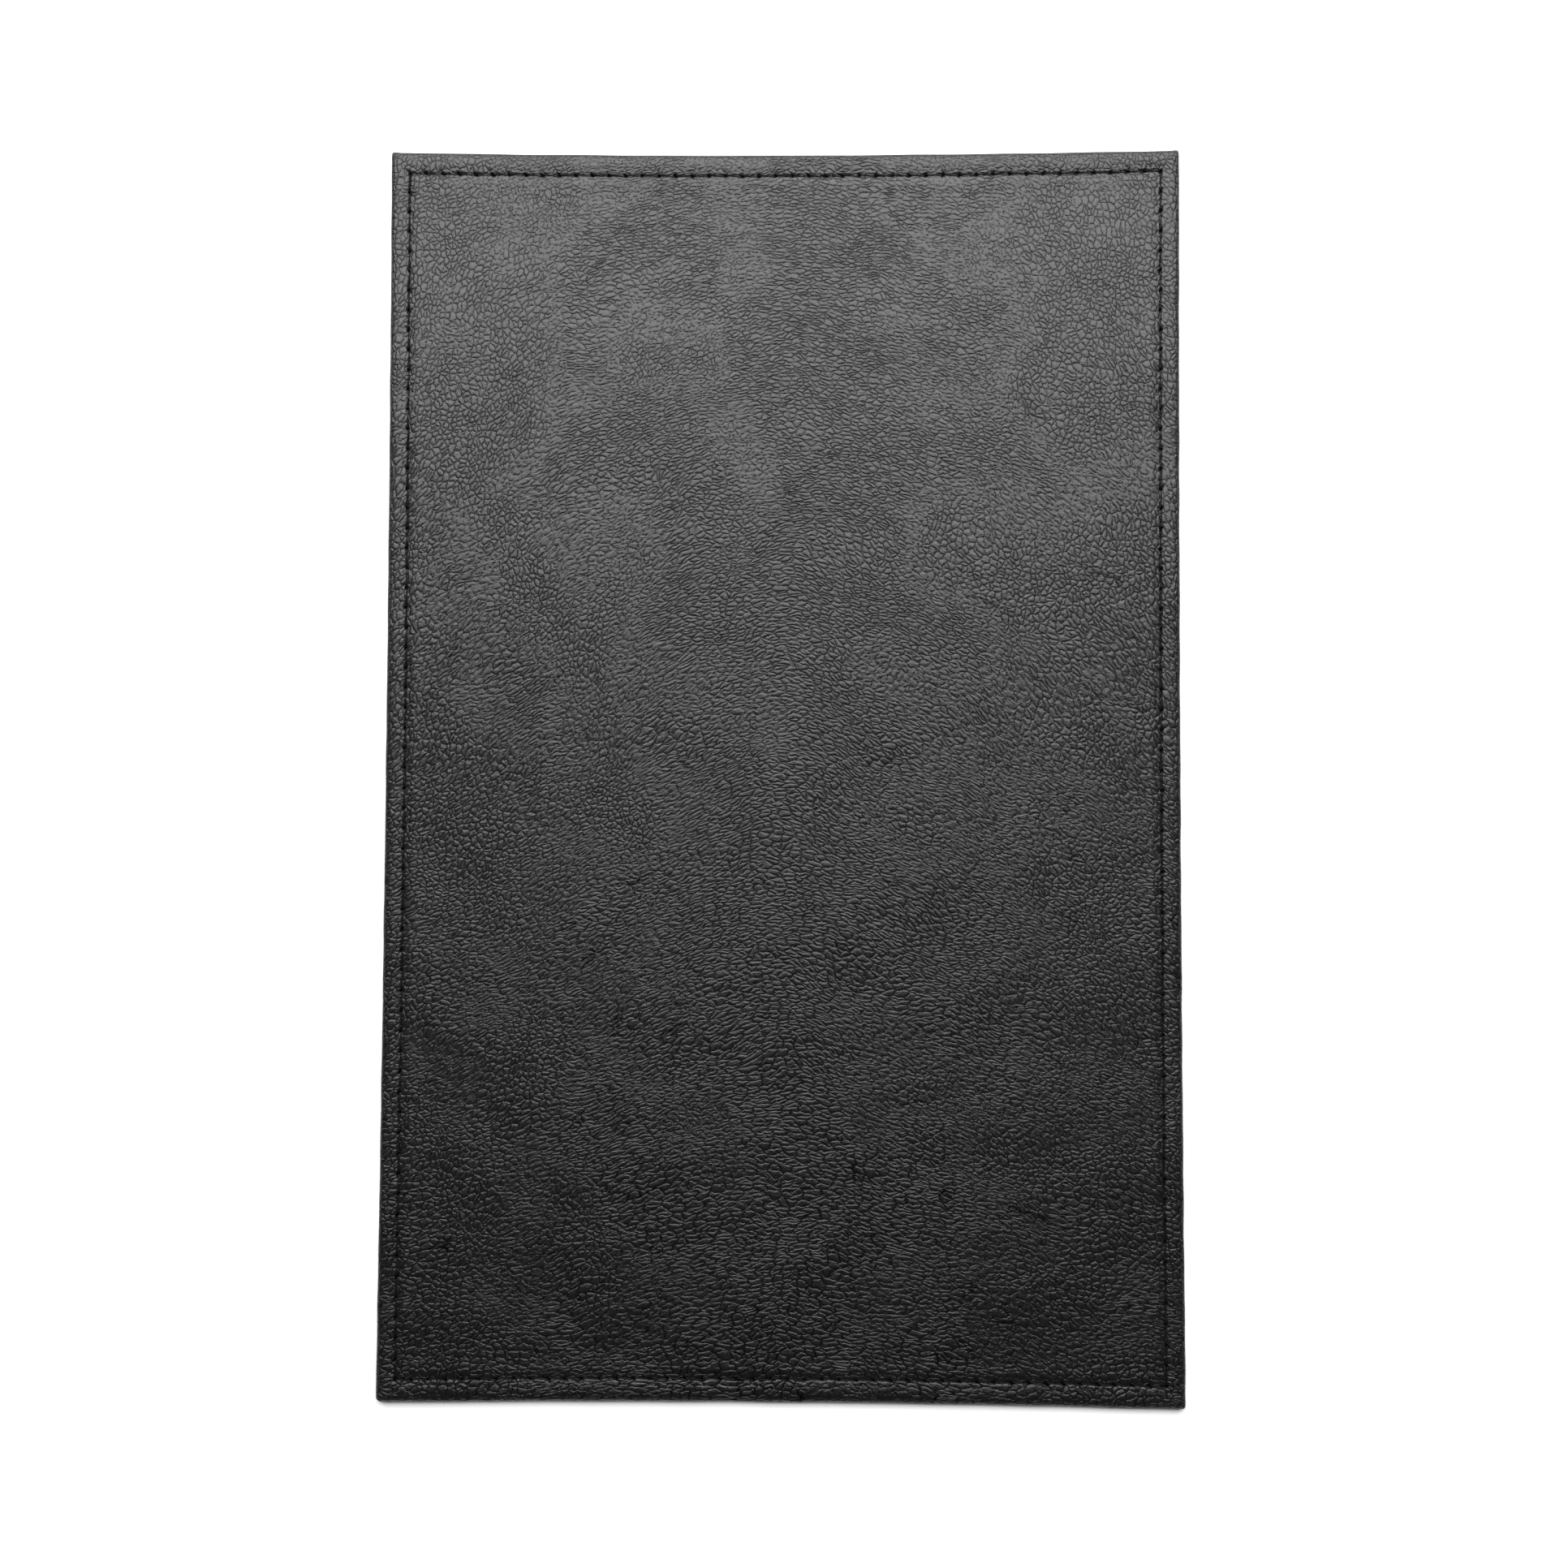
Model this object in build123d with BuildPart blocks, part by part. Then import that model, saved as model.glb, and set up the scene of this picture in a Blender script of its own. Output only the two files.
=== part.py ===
from build123d import *
from math import radians, tan
import os

os.makedirs("parts", exist_ok=True)

# Desk mat: a turned-edge cover over padding and a stiffening board, closed below by a
# backing sheet and sewn all round with a lockstitch.
# Sizes are in millimetres. +Z is up, +Y points to the far short edge, and the origin is
# the middle of the outline, at the level of the desk.

# Outline. Each side is drawn in a little at its middle, as sewn leather pulls.
mat_width = 280.0
mat_length = 440.0
side_bow = 0.7
end_bow = 1.4

# Layers, from the desk up
backing_thickness = 0.7
cover_thickness = 0.7
tape_thickness = 0.1
board_thickness = 0.7
padding_thickness = 0.8

# Turned edge of the cover. In plan its corners are a little rounder than its shoulder.
shoulder_radius = 1.7
corner_ease = 0.3
turn_radius = 0.8
hem_width = 14.0
mitre_gap = 0.4
mitre_end_margin = 3.0
core_clearance = 0.15

# Hem tape, straight strips between the hem and the board
tape_width = 10.0
tape_margin = 2.0
tape_joint_gap = 0.3

# Backing sheet, which steps up inside the hem to meet the board
backing_margin = 2.0
backing_hem_gap = 0.5
backing_step_run = 2.0

# Seam
side_seam_margin = 6.7
end_seam_margin = 7.9
side_stitch_pitch = 7.1
end_stitch_pitch = 5.9
thread_diameter = 0.45
thread_bend_ease = 0.015
thread_loop_gap = 0.01
thread_clearance = 0.02
needle_hole_clearance = 0.05
valley_top_width = 5.0
valley_floor_spare = 0.1
valley_sink = 0.15
channel_sink = 0.05

# Levels of the layers
hem_bottom = backing_thickness
hem_top = hem_bottom + cover_thickness
board_bottom = hem_top + tape_thickness
board_top = board_bottom + board_thickness
padding_top = board_top + padding_thickness
mat_top = padding_top + cover_thickness

corner_radius = shoulder_radius + corner_ease

# Sizes that follow from the thread
thread_radius = thread_diameter / 2
thread_bend_radius = thread_radius + thread_bend_ease
loop_radius = thread_diameter + thread_loop_gap
needle_hole_radius = loop_radius + thread_bend_radius + needle_hole_clearance
seam_floor_width = 2 * needle_hole_radius + valley_floor_spare
valley_depth = thread_diameter + valley_sink
channel_depth = thread_diameter + channel_sink
needle_run_level = mat_top - valley_depth + thread_clearance + thread_radius
bobbin_run_level = channel_depth - thread_clearance - thread_radius
lock_level = (needle_run_level + bobbin_run_level) / 2
lock_offset = loop_radius / 2


def side_arcs(side_margin, end_margin):
    """The four bowed sides, counterclockwise from the near one, inside both margins."""
    x = mat_width / 2 - side_margin
    y = mat_length / 2 - end_margin
    with BuildLine(mode=Mode.PRIVATE) as sides:
        ThreePointArc((-x, -y), (0, -y + end_bow), (x, -y))
        ThreePointArc((x, -y), (x - side_bow, 0), (x, y))
        ThreePointArc((x, y), (0, y - end_bow), (-x, y))
        ThreePointArc((-x, y), (-x + side_bow, 0), (-x, -y))
    return sides.edges()


def outline(margin):
    """The mat's outline drawn in by a margin, its corners rounded about the same centres."""
    with BuildSketch(mode=Mode.PRIVATE) as face:
        with BuildLine():
            add(side_arcs(margin, margin))
        make_face()
        if margin < corner_radius:
            fillet(face.vertices(), corner_radius - margin)
    return face.sketch


def seam_outline(offset_in):
    """The face inside the seam line, drawn in by offset_in, or out where it is negative."""
    with BuildSketch(mode=Mode.PRIVATE) as face:
        with BuildLine():
            add(side_arcs(side_seam_margin + offset_in, end_seam_margin + offset_in))
        make_face()
    return face.sketch


def seam_valley(rim_level):
    """The ring that the stitches press down, flat-floored and open at rim_level."""
    rim = valley_top_width / 2
    floor = seam_floor_width / 2
    floor_level = rim_level - valley_depth
    with BuildPart(mode=Mode.PRIVATE) as ring:
        with BuildSketch(Plane.XY.offset(rim_level)):
            add(seam_outline(-rim))
        with BuildSketch(Plane.XY.offset(floor_level)):
            add(seam_outline(-floor))
        loft(ruled=True)
        with BuildSketch(Plane.XY.offset(rim_level)):
            add(seam_outline(rim))
        with BuildSketch(Plane.XY.offset(floor_level)):
            add(seam_outline(floor))
        loft(ruled=True, mode=Mode.SUBTRACT)
    return ring.part


def hem_window(level):
    """The block that fills the opening inside the hem, narrowing over its height."""
    margin = hem_width + backing_hem_gap
    with BuildPart(mode=Mode.PRIVATE) as block:
        with BuildSketch(Plane.XY.offset(level)):
            add(outline(margin))
        with BuildSketch(Plane.XY.offset(level + board_bottom - hem_bottom)):
            add(outline(margin + backing_step_run))
        loft(ruled=True)
    return block.part


def needle_points():
    """Where the needle went through, counterclockwise along the seam line."""
    points = []
    pitches = (end_stitch_pitch, side_stitch_pitch, end_stitch_pitch, side_stitch_pitch)
    for arc, pitch in zip(side_arcs(side_seam_margin, end_seam_margin), pitches):
        stitches = round(arc.length / pitch)
        points += [arc @ (i / stitches) for i in range(stitches)]
    return points


def thread_path(points, run_level, side, twist):
    """One thread of the lockstitch: down each hole, round the lock, back up and along.

    side is 1 for the thread that runs on top and -1 for the one below, and twist is the
    angle in plan between the seam line and the plane of the thread's loops. Each bend is
    two half turns. The thread starts and ends in the first hole, which has no loop.
    """
    count = len(points)
    half_turn = tan(radians(90 / 4))
    spreads = []
    for i in range(count):
        along = (points[(i + 1) % count] - points[i - 1]).normalized()
        spreads.append(along.rotate(Axis.Z, twist) * loop_radius)
    loop_end = Vector(0, 0, lock_level - side * lock_offset)
    loop_shoulder = loop_end + Vector(0, 0, side * loop_radius * (1 - half_turn))
    run = Vector(0, 0, run_level)
    bend_drop = thread_bend_radius * (1 - half_turn)
    run_shoulder = run - Vector(0, 0, side * bend_drop)
    corners = []
    for i in range(count):
        after = (i + 1) % count
        leave = points[i] + spreads[i]
        arrive = points[after] - spreads[after]
        bend = (arrive - leave).normalized() * bend_drop
        corners += [
            leave + loop_shoulder,
            leave + run_shoulder,
            leave + bend + run,
            arrive - bend + run,
            arrive + run_shoulder,
            arrive + loop_shoulder,
            points[after] - spreads[after] * half_turn + loop_end,
            points[after] + spreads[after] * half_turn + loop_end,
        ]
    loop_corners = 2
    return Polyline(*corners[:-loop_corners])


needle_holes_at = needle_points()
cover_valley = seam_valley(mat_top)
padding_valley = seam_valley(padding_top)

# Every needle hole, as one tool
with BuildPart() as needle_punch:
    with BuildSketch():
        with Locations(*needle_holes_at):
            Circle(needle_hole_radius)
    extrude(amount=mat_top)

# The room inside the turned cover
with BuildPart() as cover_cavity:
    with BuildSketch(Plane.XY.offset(hem_top)):
        add(outline(cover_thickness))
    extrude(amount=padding_top - hem_top)
    fillet(cover_cavity.edges().group_by(Axis.Z)[-1], shoulder_radius - cover_thickness)

# Board and padding together, as they fill that room
with BuildPart() as core_blank:
    with BuildSketch(Plane.XY.offset(board_bottom)):
        add(outline(cover_thickness + core_clearance))
    extrude(amount=padding_top - board_bottom)
    fillet(core_blank.edges().group_by(Axis.Z)[-1], shoulder_radius - cover_thickness)

# Cover: the panel, the rolled edge and the hem turned under, in one piece of material
with BuildPart() as top_cover:
    with BuildSketch(Plane.XY.offset(hem_bottom)):
        add(outline(0))
    extrude(amount=mat_top - hem_bottom)
    fillet(top_cover.edges().group_by(Axis.Z)[-1], shoulder_radius)
    fillet(top_cover.edges().group_by(Axis.Z)[0], turn_radius)
    add(cover_cavity.part, mode=Mode.SUBTRACT)
    with BuildSketch(Plane.XY.offset(hem_bottom)):
        add(outline(hem_width))
    extrude(amount=cover_thickness, mode=Mode.SUBTRACT)
    # The hems meet at mitred corners, whose gaps run out into the opening inside them
    mitre_mouth_margin = hem_width + mitre_gap
    mitre_margin = (mitre_end_margin + mitre_mouth_margin) / 2
    with BuildSketch(Plane.XY.offset(hem_bottom)):
        for x_side in (-1, 1):
            for y_side in (-1, 1):
                mitre_x = x_side * (mat_width / 2 - mitre_margin)
                mitre_y = y_side * (mat_length / 2 - mitre_margin)
                with Locations(Location((mitre_x, mitre_y), 45 * x_side * y_side)):
                    Rectangle(2 ** 0.5 * (mitre_mouth_margin - mitre_end_margin), mitre_gap)
    extrude(amount=cover_thickness, mode=Mode.SUBTRACT)
    add(padding_valley)
    add(cover_valley, mode=Mode.SUBTRACT)
    add(needle_punch.part, mode=Mode.SUBTRACT)
top_cover.part.label = "top_cover"
export_step(top_cover.part, "parts/top_cover.step")

# Padding: a soft sheet, nearly pressed through under the seam
with BuildPart() as padding_foam:
    add(core_blank.part)
    split(bisect_by=Plane.XY.offset(board_top), keep=Keep.TOP)
    add(padding_valley, mode=Mode.SUBTRACT)
    add(needle_punch.part, mode=Mode.SUBTRACT)
padding_foam.part.label = "padding_foam"
export_step(padding_foam.part, "parts/padding_foam.step")

# Stiffening board
with BuildPart() as stiffener_board:
    add(core_blank.part)
    split(bisect_by=Plane.XY.offset(board_top), keep=Keep.BOTTOM)
    add(needle_punch.part, mode=Mode.SUBTRACT)
stiffener_board.part.label = "stiffener_board"
export_step(stiffener_board.part, "parts/stiffener_board.step")

# Hem tape: the end strips run the full width, and the side strips stop short of them
end_tape_y = mat_length / 2 - end_bow - tape_margin - tape_width / 2
side_tape_x = mat_width / 2 - side_bow - tape_margin - tape_width / 2
end_tape_length = 2 * side_tape_x + tape_width
side_tape_length = 2 * end_tape_y - tape_width - 2 * tape_joint_gap
tape_strips = {
    "hem_tape_front": (0, -end_tape_y, end_tape_length, tape_width),
    "hem_tape_back": (0, end_tape_y, end_tape_length, tape_width),
    "hem_tape_left": (-side_tape_x, 0, tape_width, side_tape_length),
    "hem_tape_right": (side_tape_x, 0, tape_width, side_tape_length),
}
for strip_name, (strip_x, strip_y, x_size, y_size) in tape_strips.items():
    with BuildPart() as hem_tape:
        with BuildSketch(Plane.XY.offset(hem_top)):
            with Locations((strip_x, strip_y)):
                Rectangle(x_size, y_size)
        extrude(amount=tape_thickness)
        add(needle_punch.part, mode=Mode.SUBTRACT)
    hem_tape.part.label = strip_name
    export_step(hem_tape.part, f"parts/{strip_name}.step")

# Backing: glued to the hem, and to the board inside it, with a channel for the thread
with BuildPart() as backing_sheet:
    with BuildSketch():
        add(outline(backing_margin))
    extrude(amount=backing_thickness)
    add(hem_window(backing_thickness))
    add(hem_window(0), mode=Mode.SUBTRACT)
    with BuildSketch():
        add(seam_outline(-seam_floor_width / 2))
        add(seam_outline(seam_floor_width / 2), mode=Mode.SUBTRACT)
    extrude(amount=channel_depth, mode=Mode.SUBTRACT)
    add(needle_punch.part, mode=Mode.SUBTRACT)
backing_sheet.part.label = "backing_sheet"
export_step(backing_sheet.part, "parts/backing_sheet.step")

# Seam: the needle thread's loops go down each hole and hold the bobbin thread's
needle_path = thread_path(needle_holes_at, needle_run_level, 1, 45)
with BuildPart() as needle_thread:
    with BuildSketch(Plane(needle_path @ 0, z_dir=needle_path % 0)):
        Circle(thread_radius)
    sweep(path=needle_path, transition=Transition.RIGHT)
needle_thread.part.label = "needle_thread"
export_step(needle_thread.part, "parts/needle_thread.step")

bobbin_path = thread_path(needle_holes_at, bobbin_run_level, -1, -45)
with BuildPart() as bobbin_thread:
    with BuildSketch(Plane(bobbin_path @ 0, z_dir=bobbin_path % 0)):
        Circle(thread_radius)
    sweep(path=bobbin_path, transition=Transition.RIGHT)
bobbin_thread.part.label = "bobbin_thread"
export_step(bobbin_thread.part, "parts/bobbin_thread.step")
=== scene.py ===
"""Desk mat: a turned-edge leather mat, sewn all round, on a pale studio floor.

Run as a script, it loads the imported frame, builds the mat's soft pieces over it and gives the
board and the tapes their finishes. Mesh code works in millimetres, in the frame's directions:
+Z is up and +Y points to the far short edge.
"""

import math

import bpy
import numpy as np
from bpy.props import FloatProperty, FloatVectorProperty, IntProperty, PointerProperty
from bpy.types import Operator, Panel, PropertyGroup
from mathutils import Euler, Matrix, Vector


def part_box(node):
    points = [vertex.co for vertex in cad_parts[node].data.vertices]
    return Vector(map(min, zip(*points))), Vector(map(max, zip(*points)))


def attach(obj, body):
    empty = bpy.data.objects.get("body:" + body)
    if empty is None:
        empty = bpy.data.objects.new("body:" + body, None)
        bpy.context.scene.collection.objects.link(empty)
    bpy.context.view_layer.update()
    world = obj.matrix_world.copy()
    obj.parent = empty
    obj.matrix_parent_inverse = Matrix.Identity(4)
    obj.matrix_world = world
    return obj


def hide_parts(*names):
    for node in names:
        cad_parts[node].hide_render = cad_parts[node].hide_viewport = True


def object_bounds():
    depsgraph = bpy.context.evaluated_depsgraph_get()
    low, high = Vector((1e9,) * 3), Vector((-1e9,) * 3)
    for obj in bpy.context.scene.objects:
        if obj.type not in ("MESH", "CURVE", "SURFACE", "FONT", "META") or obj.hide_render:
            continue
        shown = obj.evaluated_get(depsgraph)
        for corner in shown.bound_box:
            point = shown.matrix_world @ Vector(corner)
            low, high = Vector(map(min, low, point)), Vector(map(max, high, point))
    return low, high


bl_info = {
    "name": "Desk Mat",
    "version": (1, 0, 0),
    "blender": (4, 5, 0),
    "location": "3D View > Sidebar > Desk Mat",
    "description": "Builds a padded leather desk mat with a sewn turned edge",
    "category": "Add Mesh",
}

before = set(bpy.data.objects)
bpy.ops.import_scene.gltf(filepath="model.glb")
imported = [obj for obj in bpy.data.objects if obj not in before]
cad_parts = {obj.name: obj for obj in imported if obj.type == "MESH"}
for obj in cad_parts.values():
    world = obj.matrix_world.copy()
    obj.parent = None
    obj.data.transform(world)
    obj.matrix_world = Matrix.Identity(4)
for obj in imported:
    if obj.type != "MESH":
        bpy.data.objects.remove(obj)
CAD_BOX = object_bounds()

MM = 0.001
SEED = 7

# Where the columns of a skin stand within one stitch, as shares of its length from the hole
COLUMN_STEPS = (0, 0.06, 0.12, 0.25, 0.5, 0.75, 0.88, 0.94)
# How far inside the seam the grid of a panel takes over from the rows, in millimetres
PANEL_START = 8.0


# ---------------------------------------------------------------- settings

def millimetres(name, description, default):
    """A length setting. Its default is given in millimetres."""
    return FloatProperty(
        name=name, description=description, default=default * MM, unit="LENGTH", precision=5)


def tint(name, description, default):
    """A colour setting."""
    return FloatVectorProperty(
        name=name, description=description, subtype="COLOR", default=default, min=0, max=1)


class DeskMatSizes(PropertyGroup):
    """Sizes of the mat's soft pieces."""

    end_stitches: IntProperty(
        name="End Stitches", description="Stitches along each short side", default=45, min=4)
    side_stitches: IntProperty(
        name="Side Stitches", description="Stitches along each long side", default=60, min=4)
    side_bow: millimetres("Side Bow", "How far a long side is drawn in at its middle", 0.7)
    end_bow: millimetres("End Bow", "How far a short side is drawn in at its middle", 1.4)
    side_seam_margin: millimetres("Side Seam Margin", "From a long edge to its seam", 6.7)
    end_seam_margin: millimetres("End Seam Margin", "From a short edge to its seam", 7.9)
    corner_radius: millimetres("Corner Radius", "Radius of the mat's corners in plan", 2.0)
    shoulder: millimetres("Shoulder", "Width of the rounded edge of the cover", 2.1)
    hem_width: millimetres("Hem Width", "Width of the leather turned under the edge", 14.0)
    leather: millimetres("Leather", "Thickness of the cover's leather", 0.7)
    puff: millimetres("Puff", "How far the padding swells beside the seam", 0.18)
    dish: millimetres("Dish", "How far the stitches draw the leather down on both sides", 0.13)
    groove: millimetres("Groove", "How far the thread sinks into the leather", 0.3)
    hole_dip: millimetres("Hole Dip", "How far the leather goes down at a needle hole", 0.48)
    wave: millimetres("Wave", "Height of the slow waves over the panel", 0.1)
    thread: millimetres("Thread", "Width of the plied thread", 0.56)
    drift: millimetres("Seam Drift", "How far the sewn line wanders to each side", 0.12)


class DeskMatLook(PropertyGroup):
    """Colours and surface of the mat's materials."""

    leather_colour: tint(
        "Leather Colour", "The leather on top of its pebbles", (0.0019, 0.0019, 0.002))
    # Painted shade: the near-black colour mixed into the creases, folds and needle holes
    crease_shade_colour: tint(
        "Crease Colour", "The leather at the bottom of its creases", (0.0006, 0.0006, 0.0006))
    thread_colour: tint("Thread Colour", "The sewing thread", (0.003, 0.003, 0.0032))
    backing_colour: tint(
        "Backing Colour", "The suede-like backing sheet", (0.022, 0.022, 0.024))
    foam_colour: tint("Padding Colour", "The foam sheet under the leather", (0.16, 0.16, 0.17))
    board_colour: tint("Board Colour", "The stiffening board", (0.25, 0.22, 0.18))
    tape_colour: tint("Tape Colour", "The hem tape", (0.62, 0.55, 0.4))
    pebble: millimetres("Pebble", "Width of the leather's round pebbles", 2.15)
    fine_grain: millimetres("Fine Grain", "Width of the cells inside the pebbles", 0.95)
    grain_depth: millimetres("Grain Depth", "Depth of the deepest creases", 0.3)
    sheen_level: FloatProperty(
        name="Gloss", description="Specular level of the leather", default=0.46, min=0, max=1)
    roughness: FloatProperty(
        name="Roughness", description="Roughness of the leather on its pebbles",
        default=0.34, min=0, max=1)


class DeskMatStage(PropertyGroup):
    """The camera, the floor and the lights."""

    camera_place: FloatVectorProperty(
        name="Camera Place", description="Where the camera stands", subtype="TRANSLATION",
        unit="LENGTH", default=(0.0104, -0.028, 0.5904), precision=4)
    camera_turn: FloatVectorProperty(
        name="Camera Turn", description="The camera's angles, from straight down",
        subtype="EULER", unit="ROTATION",
        default=(math.radians(2.234), math.radians(0.921), math.radians(0.223)))
    lens: FloatProperty(
        name="Lens", description="Focal length", subtype="DISTANCE_CAMERA", default=38.57)
    key_power: FloatProperty(
        name="Key Power", description="Power of the softbox beyond the far edge",
        subtype="POWER", default=72.0)
    fill_power: FloatProperty(
        name="Fill Power", description="Power of the overhead fill",
        subtype="POWER", default=0.5)
    world_level: FloatProperty(
        name="Room Level", description="Brightness of the room", default=0.05, min=0)
    floor_colour: tint("Floor Colour", "The pale floor", (0.92, 0.92, 0.92))


# ---------------------------------------------------------------- shapes

def new_mesh(name, points, faces):
    """A smooth-shaded mesh of points in metres."""
    mesh = bpy.data.meshes.new(name)
    mesh.from_pydata(points, [], faces)
    mesh.shade_smooth()
    return mesh


def new_object(name, data):
    """An object in the scene."""
    thing = bpy.data.objects.new(name, data)
    bpy.context.scene.collection.objects.link(thing)
    return thing


def smooth(low, high, value):
    """0 below low, 1 above high, and a smooth rise between them."""
    share = np.clip((value - low) / (high - low), 0, 1)
    return share * share * (3 - 2 * share)


def ripple(x, y, wavelength, seed, count=5):
    """Slow uneven waves between about -1 and 1, the same for the same seed."""
    draw = np.random.RandomState(seed)
    total = np.zeros(np.broadcast(x, y).shape)
    for _ in range(count):
        angle, phase = draw.uniform(0, 2 * math.pi, 2)
        pace = 2 * math.pi / (wavelength * draw.uniform(0.7, 1.6))
        total += np.sin(pace * (x * math.cos(angle) + y * math.sin(angle)) + phase)
    usual_peak = 1.4
    return total / count ** 0.5 / usual_peak


class Plan:
    """The mat in millimetres: its outline, and the columns that run round it."""

    # How far the folded leather at each corner is pushed along x and y, in the columns' order
    corner_push = ((0.05, 0.0), (0.35, -0.25), (0.25, 0.75), (-0.45, 0.75))
    corner_reach = 1.5
    # Where the leather stands highest beside the seam, and how wide each shape across it is
    puff_place, puff_reach = 3.4, 1.8
    dish_reach, groove_reach = 1.9, 0.32
    # How wide the dip at a needle hole is
    hole_reach = 0.6

    def __init__(self, sizes):
        self.sizes = sizes
        low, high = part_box("top_cover")
        self.half_width = (high.x - low.x) / 2 / MM
        self.half_length = (high.y - low.y) / 2 / MM
        self.top = high.z / MM
        self.hem_bottom = low.z / MM
        self.leather = sizes.leather / MM
        self.side_seam = sizes.side_seam_margin / MM
        self.end_seam = sizes.end_seam_margin / MM
        self.corner_radius = sizes.corner_radius / MM
        counts = (sizes.end_stitches, sizes.side_stitches) * 2
        self.stitches = sum(counts)
        draw = np.random.RandomState(SEED)
        self.hole_drift = draw.uniform(-1, 1, self.stitches + 1)
        self.hole_drift[-1] = self.hole_drift[0]
        self.hole_draw = draw.uniform(0.75, 1.2, self.stitches + 1)
        self.hole_draw[-1] = self.hole_draw[0]
        across, along, phase, station, pitch = [], [], [], [], []
        for side, count in enumerate(counts):
            steps = (np.arange(count)[:, None] + np.array(COLUMN_STEPS)).ravel()
            run = 2 * steps / count - 1
            fixed = np.ones_like(run)
            across.append((run, fixed, -run, -fixed)[side])
            along.append((-fixed, run, fixed, -run)[side])
            phase.append(steps % 1)
            station.append(sum(counts[:side]) + steps)
            reach = self.half_width - self.side_seam, self.half_length - self.end_seam
            pitch.append(fixed * 2 * reach[side % 2] / count)
        self.across, self.along = np.concatenate(across), np.concatenate(along)
        self.phase, self.station = np.concatenate(phase), np.concatenate(station)
        self.pitch = np.concatenate(pitch)

    def columns(self, per_stitch):
        """The picked columns, as many to a stitch as asked."""
        return slice(None, None, len(COLUMN_STEPS) // per_stitch)

    def spread(self, across, along, side_margin, end_margin):
        """Points of the bowed outline inside both margins. across and along run -1 to 1."""
        side_bow, end_bow = self.sizes.side_bow / MM, self.sizes.end_bow / MM
        x = across * (self.half_width - side_margin - side_bow * (1 - along ** 2))
        y = along * (self.half_length - end_margin - end_bow * (1 - across ** 2))
        return x, y

    def margins(self, inset):
        """The side and end margins of the row that is inset from the edge."""
        if inset < self.side_seam:
            return inset, inset * self.end_seam / self.side_seam
        return inset, inset - self.side_seam + self.end_seam

    def flat_row(self, inset, per_stitch):
        """The row's place on the leather before it was turned."""
        pick = self.columns(per_stitch)
        return self.spread(self.across[pick], self.along[pick], *self.margins(inset))

    def row(self, inset, per_stitch, outward=0.0, push=0.0):
        """The row's place in plan, its corners rounded and its folds pushed out."""
        pick = self.columns(per_stitch)
        x, y = self.flat_row(inset, per_stitch)
        reach_x = np.abs(x) - (self.half_width - self.corner_radius)
        reach_y = np.abs(y) - (self.half_length - self.corner_radius)
        cornered = (reach_x > 0) & (reach_y > 0)
        safe_x, safe_y = np.where(cornered, reach_x, 1), np.where(cornered, reach_y, 1)
        pull = np.where(cornered, np.maximum(safe_x, safe_y) / np.hypot(safe_x, safe_y), 1)
        x = x - np.sign(x) * np.where(cornered, reach_x * (1 - pull), 0)
        y = y - np.sign(y) * np.where(cornered, reach_y * (1 - pull), 0)
        # The sewn line wanders a little, and takes the leather beside it along
        side = self.across[pick], self.along[pick]
        normal_x = np.where(np.abs(side[0]) >= np.abs(side[1]), np.sign(side[0]), 0)
        normal_y = np.where(np.abs(side[1]) > np.abs(side[0]), np.sign(side[1]), 0)
        taken_along = 2.5
        reach = math.exp(-((inset - self.side_seam) / taken_along) ** 2)
        wander = self.sizes.drift / MM * reach * self.drift_at(self.station[pick])
        away = wander + outward * ripple(x, y, 21, SEED + 3)
        for (push_x, push_y), (corner_x, corner_y) in zip(
                self.corner_push, ((-1, -1), (1, -1), (1, 1), (-1, 1))):
            gap = np.hypot(x - corner_x * self.half_width, y - corner_y * self.half_length)
            near = push * np.exp(-(gap / self.corner_reach) ** 2)
            x, y = x + push_x * near, y + push_y * near
        return x + normal_x * away, y + normal_y * away

    def drift_at(self, station):
        """How far the seam is off its line at a station, counted in stitches."""
        return np.interp(station, np.arange(self.stitches + 1), self.hole_drift)

    def holes(self):
        """Every needle hole's x and y."""
        return np.stack(self.row(self.side_seam, 1), 1)

    def panel_wave(self, x, y, inset):
        """The slow waves of the panel, which fade out towards the seam."""
        fade = smooth(2.0, 20.0, inset - self.side_seam)
        slow = ripple(x, y, 95, SEED + 1) + 0.45 * ripple(x, y, 34, SEED + 2)
        return self.sizes.wave / MM * fade * slow

    def seam_relief(self, inset):
        """Rise or fall of the leather across the seam, without its holes."""
        off = np.abs(inset - self.side_seam)
        puff = self.sizes.puff / MM * np.exp(-((off - self.puff_place) / self.puff_reach) ** 2)
        dish = self.sizes.dish / MM * np.exp(-(off / self.dish_reach) ** 2)
        groove = self.sizes.groove / MM * np.exp(-(off / self.groove_reach) ** 2)
        return puff - dish - groove

    def hole_gap(self, pick):
        """How far along the seam each column is from its nearest needle hole."""
        return np.minimum(self.phase[pick], 1 - self.phase[pick]) * self.pitch[pick]

    def top_level(self, inset, x, y, pick):
        """Level of the leather's outer face on the top of the mat."""
        off = inset - self.side_seam
        gap = self.hole_gap(pick)
        draw = np.interp(self.station[pick], np.arange(self.stitches + 1), self.hole_draw)
        far = (off ** 2 + gap ** 2) / self.hole_reach ** 2
        dip = self.sizes.hole_dip / MM * draw * np.exp(-far)
        # The leather puckers at every stitch, and swells unevenly beside the seam
        pull = 0.06 * draw * np.exp(-((abs(off) - 1.1) / 0.9) ** 2)
        pucker = pull * np.cos(2 * math.pi * self.phase[pick])
        swell = 0.05 * ripple(x, y, 13, SEED + 4) * math.exp(-((abs(off) - 3) / 2.2) ** 2)
        level = self.top + self.seam_relief(inset) + self.panel_wave(x, y, inset)
        return level - dip - pucker + swell

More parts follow.
